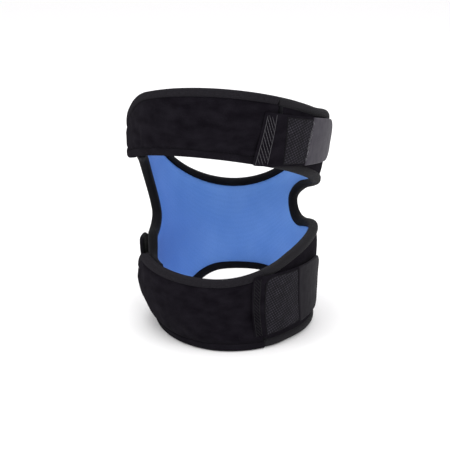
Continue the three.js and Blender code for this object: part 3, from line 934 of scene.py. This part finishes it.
def strap_patch(strap, inset):
    """The padded part of a strap, from its sewn and rounded rear end to its square front end."""
    rear = STRAP_REAR + turn_of(inset)
    bottom_end, top_end = strap["end"]
    length = arc((bottom_end + top_end) / 2 - rear)
    height = float(strap["top"](0) - strap["bottom"](0)) - 2 * inset
    along = (crowded(length, 3, PAD_PITCH) / length)[:, None]
    across = (crowded(height, 3, PAD_PITCH) / height)[None, :]
    angle = lerp(rear, lerp(bottom_end, top_end, across), along)
    low_cut, high_cut = (
        rounded(arc(angle - rear), length_cut - inset) * (height_cut - inset) / (length_cut - inset)
        for length_cut, height_cut in strap["corners"]
    )
    low = inset_line(strap["bottom"], inset)(angle) + low_cut
    high = inset_line(strap["top"], -inset)(angle) - high_cut
    cut = Patch((angle, lerp(low, high, across)))
    from_end = arc(lerp(bottom_end, top_end, strap_share(strap, cut.angle, cut.z)) - cut.angle)
    from_edges = np.minimum(strap["top"](cut.angle) - cut.z, cut.z - strap["bottom"](cut.angle)) - inset
    near_end = from_end < cut.depth + 0.5
    cut.depth = np.where(near_end, np.minimum(SQUARE_END * from_end, from_edges), cut.depth)
    cut.depth = np.clip(cut.depth, 0, None)
    return cut


def strap_outline(strap):
    """A strap's free edge: back along the top, round the rear end, forward along the bottom."""
    bottom_end, top_end = strap["end"]
    (low_long, low_high), (high_long, high_high) = strap["corners"]
    quarter = np.linspace(0, math.pi / 2, 14)
    rear = arc(STRAP_REAR)
    top_angles = evenly(top_end, STRAP_REAR + turn_of(high_long), 2)[:-1]
    bottom_angles = evenly(STRAP_REAR + turn_of(low_long), bottom_end, 2)[1:]
    points = [(arc(a), strap["top"](a)) for a in top_angles]
    for t in quarter:
        s = rear + high_long * (1 - math.sin(t))
        points.append((s, strap["top"](turn_of(s)) - high_high * (1 - math.cos(t))))
    low_rear = strap["bottom"](STRAP_REAR) + low_high
    points += [(rear, z) for z in np.linspace(strap["top"](STRAP_REAR) - high_high, low_rear, 12)[1:-1]]
    for t in quarter[::-1]:
        s = rear + low_long * (1 - math.sin(t))
        points.append((s, strap["bottom"](turn_of(s)) + low_high * (1 - math.cos(t))))
    points += [(arc(a), strap["bottom"](a)) for a in bottom_angles]
    return outline_edge(points)


def inflate(pad, depth):
    """Swells a pad as cloth under pressure, held at its rim, and caps how far each point moves."""
    mesh = pad.data
    rest = np.array([v.co for v in mesh.vertices])
    normals = np.array([v.normal for v in mesh.vertices])
    held = pad.vertex_groups.new(name="held")
    for i, d in enumerate(depth):
        held.add([i], float(1 - smoothstep(1.2, 4.5, d)), "REPLACE")
    cloth = pad.modifiers.new("Swell", "CLOTH")
    settings = cloth.settings
    for key, value in CLOTH_SETTINGS.items():
        setattr(settings, key, value)
    settings.vertex_group_mass = "held"
    settings.effector_weights.gravity = 0
    cloth.collision_settings.use_collision = False
    scene = bpy.context.scene
    for step in range(1, CLOTH_FRAMES + 1):
        scene.frame_set(step)
    shape = pad.evaluated_get(bpy.context.evaluated_depsgraph_get()).to_mesh()
    swollen = np.array([v.co for v in shape.vertices])
    pad.modifiers.remove(cloth)
    scene.frame_set(1)
    move = swollen - rest
    outwards = rest * (1, 1, 0)
    outer = (normals * outwards).sum(1) > 0
    cap = np.where(outer, SWELL_OUT, SWELL_IN) * MM
    length = np.linalg.norm(move, axis=1)
    move *= (cap * np.tanh(length / cap) / np.maximum(length, 1e-9))[:, None]
    mesh.vertices.foreach_set("co", (rest + move).ravel())
    mesh.update()


def subdivide(piece):
    """Applies a subdivision surface to the piece's mesh."""
    modifier = piece.modifiers.new("Subdivision", "SUBSURF")
    modifier.levels = modifier.render_levels = 1
    graph = bpy.context.evaluated_depsgraph_get()
    mesh = bpy.data.meshes.new_from_object(piece.evaluated_get(graph), depsgraph=graph)
    piece.modifiers.remove(modifier)
    mesh.name = piece.data.name
    piece.data = mesh


def across_hinge(piece, height):
    """Bakes a strap's piece's placement into its mesh. The hinge where its sewn rear end meets the part that
    swings is found, but the piece is not bent there.
    """
    hinge = surface(STRAP_HINGE, height, -STRAP_THICKNESS / 2)
    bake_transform(piece)


def build_strap(name, strap):
    """A strap's swollen pad, the roll round its free edge and the roll's stitches."""
    body = f"{name}_strap"
    cut = strap_patch(strap, STRAP_RIM - PAD_UNDER_RIM)
    folds = 0.35 * ripple(cut.flat, 15, strap["seed"], stretch=0.6)
    folds += 0.2 * ripple(cut.flat, 7, strap["seed"] + 5, stretch=0.7)
    folds *= smoothstep(2, 9, cut.depth)
    pad = slab(f"{name}_strap_pad", cut, -STRAP_THICKNESS + 0.3, -0.4, PAD_EDGE, [PILE, LINING], folds)
    inflate(pad, np.concatenate([cut.depth, np.delete(cut.depth, np.unique(cut.rim))]))
    subdivide(pad)
    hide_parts(*(f"{body}_{part}" for part in ("sewn_end", "cover", "foam", "lining")))
    height = float(cut.z[np.argmin(np.abs(cut.angle - STRAP_HINGE))])
    across_hinge(pad, height)
    edge_at, length = strap_outline(strap)
    us = np.linspace(0, length, round(length / 1.5))
    soft = 0.22 * ripple(np.stack([us, us * 0], -1), 12, strap["seed"] + 1)

    # Painted light: the roll is painted lighter towards the strap's top edge, where light from above falls,
    # and darker at its bottom.
    def painted_top_light(angle, z):
        return lerp(0.1, 1, smoothstep(0.3, 0.7, strap_share(strap, angle, z)))

    roll = tape(
        f"{name}_strap_roll", us, edge_at, STRAP_RIM,
        lambda angle: -STRAP_THICKNESS + 0 * angle, lambda angle: 0 * angle,
        ROLL, ROLL_SQUARENESS, relief=lambda u: np.interp(u, us, soft), painted_light=painted_top_light,
    )
    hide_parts(f"{body}_top_rim", f"{body}_bottom_rim")
    across_hinge(roll, height)
    runs = stitch_row(us, edge_at, 0.86 * STRAP_RIM, lambda angle: -0.95 + 0 * angle)
    stitches = threads(f"{name}_strap_roll_stitches", runs, STITCH_RADIUS, BLACK_THREAD)
    across_hinge(stitches, height)


FLAP_ENDS = (-98.5, -81)
FLAP_CORNERS = (9, 6)
FLAP_BOTTOM = 36
FLAP_TOP = 63.5
FLAP_LEAN = 1.6


def build_sewn_flap():
    """The lower strap's folded end: it stands up behind the strap, a little off the arm."""
    rear, front = FLAP_ENDS
    us = evenly(rear, front, 1.5)[:, None]
    rows = np.linspace(0, 1, 22)[None, :]
    cut_off = rounded(arc(us - rear), FLAP_CORNERS[0]) + rounded(arc(front - us), FLAP_CORNERS[1])
    cut = Patch((us + 0 * rows, lerp(FLAP_BOTTOM + 0 * us, FLAP_TOP - cut_off, rows)))
    lean = FLAP_LEAN * smoothstep(44, 62, cut.z)
    wave = 0.3 * ripple(cut.flat, 9, 71.0)
    flap = slab("lower_strap_sewn_flap", cut, -5.6 + lean, -1.6 + lean, 2.4, [PILE, LINING], wave)
    subdivide(flap)
    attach(flap, "panel")


# --- fastening tabs ---

# A tab's ends and joins are angles (at its bottom, at its top). Its bottom and top edges are heights
# (where it bends, at its tip). Its seam is (left side, right side), and fray counts loose yarn ends.
TABS = {
    "upper": {
        "root": (21.8, 26.6), "start": (30.8, 33.8), "mesh": (39, 39), "grip": (54.6, 57.8), "end": 84,
        "bottom": (135.5, 128), "top": (173, 158),
        "root_corner": (2, 2), "tip_corner": 9, "tape_corner": 0,
        "seam": ((23.2, 28.0), (29.8, 33.0)), "stitch_rise": 3.9, "stitch_drop": 15, "fray": 90,
    },
    "lower": {
        "root": (23.8, 23.8), "start": (29.3, 29.3), "mesh": (31.5, 31.5), "grip": (58.5, 54.8), "end": 81.5,
        "bottom": (9, 16), "top": (56.5, 57.5),
        "root_corner": (3, 4), "tip_corner": 7, "tape_corner": 7,
        "seam": ((24.8, 24.8), (28.4, 28.4)), "stitch_rise": 2.6, "stitch_drop": 5.5, "fray": 0,
    },
}
STRIP_FACE = 2.0  # the outer face of a tab's strip, under its tape
TAB_FACE = (1.7, 2.35)
TAB_GRIP = (1.35, 3.0)
TAB_HOOK = (0.25, 0.95)
WEAVE_ROW = 2.0
WEAVE_STEP = 1.9
WEAVE_RISE = 0.34
HOOK_SPACING = 2.1
HOOK_BEND = np.array([0, 0.15, 0.4, 0.6])
HOOK_LIFT = np.array([0.4, -0.15, -0.35, -0.2])
STRIP_THICKNESS = 1.05
STRIP_SEWN_FACE = 1.35  # the outer face of a tab's strip where it is sewn down
TAB_BEND = 2.2  # half the length over which a tab would bend; the bend is not applied


def tab_edges(tab, angle):
    """The heights of a tab's bottom and top edges."""
    share = (angle - tab["start"][0]) / (tab["end"] - tab["start"][0])
    return lerp(*tab["bottom"], share), lerp(*tab["top"], share)


def tab_patch(tab, start, end, inset, pitch, edge, root_corner=(0, 0), tip_corner=0):
    """Part of a tab between two ends, each (bottom, top), with its corners rounded."""
    length = arc(sum(end) - sum(start)) / 2
    height = np.mean(tab["top"]) - np.mean(tab["bottom"]) - 2 * inset
    along = (crowded(length, edge, pitch) / length)[:, None]
    across = (crowded(height, edge, pitch) / height)[None, :]
    angle = lerp(lerp(*start, across), lerp(*end, across), along)
    from_root, from_tip = length * along, length * (1 - along)
    low, high = tab_edges(tab, angle)
    low = low + inset + rounded(from_root, root_corner[0]) + rounded(from_tip, tip_corner)
    high = high - inset - rounded(from_root, root_corner[1]) - rounded(from_tip, tip_corner)
    return Patch((angle, lerp(low, high, across)))


def woven_floats(flat):
    """The raised floats of the tape's weave: short lenses in rows that climb along the tab."""
    s, z = flat.T
    rise = z - WEAVE_RISE * s
    row = np.round(rise / WEAVE_ROW)
    across = (rise / WEAVE_ROW - row) * 2
    along = s / WEAVE_STEP + 0.5 * (row % 2)
    along = (along - np.round(along)) * 2
    jitter = 0.75 + 0.25 * ripple(np.stack([np.round(s / WEAVE_STEP), row], -1), 1.7, 5.5)
    return jitter * np.clip(1 - across**2, 0, 1) * np.clip(1 - np.abs(along) ** 3, 0, 1)


def build_hooks(name, tab, body):
    """Rows of tiny nylon hooks on the tab's inner side."""
    runs = []
    start, end = tab["mesh"][0] + 3, tab["end"] - 5
    for angle in np.arange(start, end, turn_of(HOOK_SPACING)):
        low, high = tab_edges(tab, angle)
        for z in np.arange(low + 5, high - 5, HOOK_SPACING):
            runs.append(surface(angle + turn_of(HOOK_BEND), z, HOOK_LIFT))
    hooks = threads(f"{name}_tab_hooks", runs, 0.14, BLACK_THREAD, sides=5)
    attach(hooks, body)


def strip_face(tab, angle):
    """The outer face of a tab's strip, which is thinner where it is sewn down."""
    return lerp(STRIP_SEWN_FACE, STRIP_FACE, smoothstep(min(tab["root"]), max(tab["seam"][1]) + 4, angle))


def build_seam(name, tab):
    """The bar of zigzag stitching that sews the tab to its strap, between two straight rows."""
    left, right = tab["seam"]
    thread = GREY_THREAD if name == "upper" else BLACK_THREAD
    low, high = tab["bottom"][0] + 1.5, tab["top"][0] - 1.5

    def at(across, z):
        share = (z - low) / (high - low)
        angle = lerp(lerp(*left, share), lerp(*right, share), across)
        return surface(angle, z, strip_face(tab, angle) + 0.16)

    runs = []
    steps = np.linspace(0, 1, 7)
    drop = tab["stitch_drop"]
    for z in np.arange(low + 2, high + drop, tab["stitch_rise"]):
        path = z - drop * steps
        inside = (path > low - 0.3) & (path < high + 0.3)
        if inside.sum() > 2:
            runs.append(at(steps[inside], path[inside]))
    runs += [at(side, np.linspace(low, high, 40)) for side in (0, 1)]
    stitches = threads(f"{name}_tab_zigzag", runs, 0.24, thread)
    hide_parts(f"{name}_tab_zigzag_stitching")
    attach(stitches, f"{name}_strap")


def build_fray(name, tab, body):
    """Loose ends of the tape's yarn along the edge of the grip."""
    rng = np.random.default_rng(7)
    runs = []
    for _ in range(tab["fray"]):
        v = rng.uniform(0.04, 0.96)
        angle = lerp(*tab["grip"], v) - rng.uniform(-0.5, 1.3) + 0.5 * math.sin(9 * v)
        low, high = tab_edges(tab, angle)
        z = lerp(low + 2, high - 2, v)
        lean = rng.uniform(-0.5, 0.5)
        length = rng.uniform(0.8, 2.4)
        t = np.linspace(0, 1, 5)
        curl = rng.uniform(-0.5, 0.5) * np.sin(math.pi * t)
        lift = TAB_GRIP[1] - 0.25 + 0.35 * np.sin(math.pi * t)
        runs.append(surface(angle + turn_of(lean * t + curl), z + length * (t - 0.5), lift))
    fray = threads(f"{name}_tab_frayed_yarn", runs, 0.085, FRAY, sides=5)
    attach(fray, body)


def build_tab(name, tab):
    """A tab: its strip, woven tape, grip and hooks, and its seam. Its bend at the seam is worked out but not
    applied.
    """
    body, tip = f"{name}_tab", (tab["end"], tab["end"])
    base_end = (tab["grip"][0] + 3, tab["grip"][1] + 3)
    base_cut = tab_patch(tab, tab["root"], base_end, 0, 1.6, 1.2, root_corner=tab["root_corner"])
    fuzz = 0.12 * ripple(base_cut.flat, 4, 21.0) + 0.3 * ripple(base_cut.flat, 13, 8.0)
    fuzz *= smoothstep(max(tab["seam"][1]), max(tab["seam"][1]) + 6, base_cut.angle)
    face = strip_face(tab, base_cut.angle)
    layers = face - STRIP_THICKNESS, face
    base = slab(f"{name}_tab_strip", base_cut, *layers, 1.2, [PILE, HOOK_TAPE], fuzz)
    subdivide(base)
    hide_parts(f"{name}_tab_sewn_end", f"{name}_tab_base")
    (low_start, high_start), low, high = tab["start"], tab["bottom"][0], tab["top"][0]
    middle, height = np.mean(tab["start"]), (low + high) / 2
    hinge = surface(middle, height, 1.2)
    along = surface(middle + 1, height, 1.2) - surface(middle - 1, height, 1.2)
    slant = surface(high_start, high, 1.2) - surface(low_start, low, 1.2)
    along -= slant * (along @ slant) / (slant @ slant)
    along *= TAB_BEND * MM / np.linalg.norm(along)
    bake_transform(base)

    corner = (0, tab["tape_corner"])
    face_cut = tab_patch(tab, tab["mesh"], tab["grip"], 1.4, 0.42, 0.5, root_corner=corner)
    floats = woven_floats(face_cut.flat) * smoothstep(0, 0.8, face_cut.depth)
    relief = 0.42 * floats
    face = slab(f"{name}_tab_woven_tape", face_cut, *TAB_FACE, 0.5, [WOVEN_TAPE], relief, floats)
    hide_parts(f"{name}_tab_hook_tape_back")
    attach(face, body)

    grip_cut = tab_patch(tab, tab["grip"], tip, -0.2, 1.2, 0.9, tip_corner=tab["tip_corner"])
    lip = 0.22 * np.exp(-(((grip_cut.depth - 1.3) / 0.6) ** 2))
    sag = 0.18 * ripple(grip_cut.flat, 8, 33.0, stretch=0.5)
    grip = slab(f"{name}_tab_grip", grip_cut, *TAB_GRIP, 0.9, [GRIPS[name]], lip + sag)
    subdivide(grip)
    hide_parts(f"{name}_tab_pull_grip")
    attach(grip, body)

    hook_end = (tab["end"] - 2.4, tab["end"] - 2.4)
    hook_cut = tab_patch(tab, tab["mesh"], hook_end, 3, 1.8, 0.4, tip_corner=5)
    hook = slab(f"{name}_tab_hook_strip", hook_cut, *TAB_HOOK, 0.4, [HOOK_TAPE])
    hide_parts(f"{name}_tab_hook_patch")
    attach(hook, body)
    build_hooks(name, tab, body)
    build_seam(name, tab)
    if tab["fray"]:
        build_fray(name, tab, body)


# --- inner layers: the frame's own gel pack and foam ---

def finish_inner_layers():
    for node, item in (("cold_gel_pack", GEL), ("panel_insulation_foam", FOAM)):
        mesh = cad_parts[node].data
        mesh.materials.clear()
        mesh.materials.append(item)


# --- floor, light and camera ---

CAMERA_TARGET = (-0.00353, 0.0004, 0.07269)
CAMERA_AZIMUTH = 8.17
CAMERA_ELEVATION = 16.33
CAMERA_DISTANCE = 0.89765
CAMERA_LENS = 94.5
FLOOR_HALF = 30.0
FLOOR_DROP = 0.0003
WORLD_STRENGTH = 1.04
AIM = Vector((0, 0, 0.08))
LIGHTS = {  # place, size and power
    "overhead": ((0.0, -0.15, 1.3), 1.1, 6.0),
    "left_window": ((-1.2, -0.9, 0.75), 0.8, 4.0),
    "right_fill": ((1.3, -0.7, 0.6), 0.9, 1.5),
    "front_fill": ((0.5, -1.6, 0.9), 0.9, 7.0),
    "back_rim": ((-0.2, 1.3, 0.9), 0.9, 2.5),
}


def build_stage():
    cloth = Cloth("pale_floor", 0.85, specular=0.1)
    tone = cloth.noise(60, detail=2)
    cloth.colour(cloth.ramp(tone, (0.3, (0.92, 0.917, 0.92)), (0.7, (0.93, 0.927, 0.93))))
    mesh = bpy.data.meshes.new("floor")
    corners = [(x * FLOOR_HALF, y * FLOOR_HALF, 0) for x, y in ((-1, -1), (1, -1), (1, 1), (-1, 1))]
    mesh.from_pydata(corners, [], [(0, 1, 2, 3)])
    mesh.materials.append(cloth.material)
    floor = add_object("floor", mesh)
    floor.location.z = -FLOOR_DROP


def build_light():
    world = bpy.data.worlds.new("studio")
    bpy.context.scene.world = world
    world.use_nodes = True
    background = world.node_tree.nodes["Background"]
    background.inputs["Color"].default_value = (1.0, 0.995, 1.0, 1)
    background.inputs["Strength"].default_value = WORLD_STRENGTH
    for name, (place, size, power) in LIGHTS.items():
        light = bpy.data.lights.new(name, "AREA")
        light.shape = "DISK"
        light.size = size
        light.energy = power
        lamp = add_object(name, light)
        lamp.location = place
        lamp.rotation_euler = (AIM - Vector(place)).to_track_quat("-Z", "Y").to_euler()


def build_camera():
    azimuth, elevation = math.radians(CAMERA_AZIMUTH), math.radians(CAMERA_ELEVATION)
    back = Vector((
        math.sin(azimuth) * math.cos(elevation),
        -math.cos(azimuth) * math.cos(elevation),
        math.sin(elevation),
    ))
    lens = bpy.data.cameras.new("camera")
    lens.lens = CAMERA_LENS
    lens.sensor_width = 36
    camera = add_object("camera", lens)
    camera.location = Vector(CAMERA_TARGET) + back * CAMERA_DISTANCE
    camera.rotation_euler = (-back).to_track_quat("-Z", "Y").to_euler()
    bpy.context.scene.camera = camera


bpy.context.scene.view_settings.view_transform = "Standard"
build_camera()
build_stage()
build_light()
build_panel()
build_bindings()
for strap_name, strap_facts in STRAPS.items():
    build_strap(strap_name, strap_facts)
build_sewn_flap()
for tab_name, tab_facts in TABS.items():
    build_tab(tab_name, tab_facts)
finish_inner_layers()
